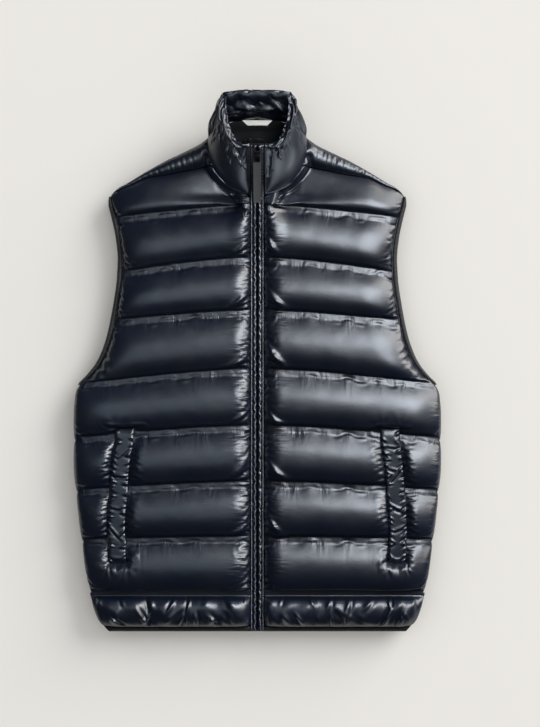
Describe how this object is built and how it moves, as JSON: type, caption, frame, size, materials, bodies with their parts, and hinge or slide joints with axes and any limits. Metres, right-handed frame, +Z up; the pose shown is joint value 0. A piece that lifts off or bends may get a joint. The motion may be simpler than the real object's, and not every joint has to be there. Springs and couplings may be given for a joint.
{
  "type": "quilted puffer vest",
  "caption": "Sleeveless quilted puffer vest with stand-up collar, closed front zip with a long pull tab, slanted welt pockets and gathered hem, laid out flat on its back.",
  "frame": {"origin": "the middle of the laid-out vest's footprint, on the ground under its back panel", "axes": "+X towards the wearer's left side, +Y from the hem towards the collar, +Z up out of the front"},
  "size_m": [0.5352, 0.786, 0.0886],
  "materials": {
    "shell_nylon": "glossy dark navy nylon",
    "lining_nylon": "satin dark lining",
    "elastic_binding": "matte dark elastic",
    "zip_tape": "matte woven tape",
    "zip_teeth": "satin coil",
    "slider_metal": "dark enamel",
    "pull_rubber": "matte dark grey",
    "label_satin": "white satin"
  },
  "bodies": {
    "vest": {"back_panel": "shell_nylon", "collar": "shell_nylon", "hem_binding_back": "elastic_binding", "front_left": "shell_nylon", "pocket_welt_left": "shell_nylon", "hem_channel_left": "shell_nylon", "shoulder_left": "shell_nylon", "placket_left": "shell_nylon", "hem_binding_front_left": "elastic_binding", "armhole_binding_front_left": "elastic_binding", "armhole_binding_back_left": "elastic_binding", "zip_tape_left": "zip_tape", "front_right": "shell_nylon", "pocket_welt_right": "shell_nylon", "hem_channel_right": "shell_nylon", "shoulder_right": "shell_nylon", "placket_right": "shell_nylon", "hem_binding_front_right": "elastic_binding", "armhole_binding_front_right": "elastic_binding", "armhole_binding_back_right": "elastic_binding", "zip_tape_right": "zip_tape", "zip_chain": "zip_teeth", "zip_guard": "lining_nylon", "neck_label": "label_satin", "zip_slider": "slider_metal"},
    "pull": {"pull_link": "slider_metal", "pull_tab": "pull_rubber"}
  },
  "joints": [
    {"name": "pull_swing", "type": "hinge", "parent": "vest", "child": "pull", "pos_m": [0, 0.294, 0.08536], "axis": [-1, 0, 0], "range_deg": [0, 170]}
  ]
}
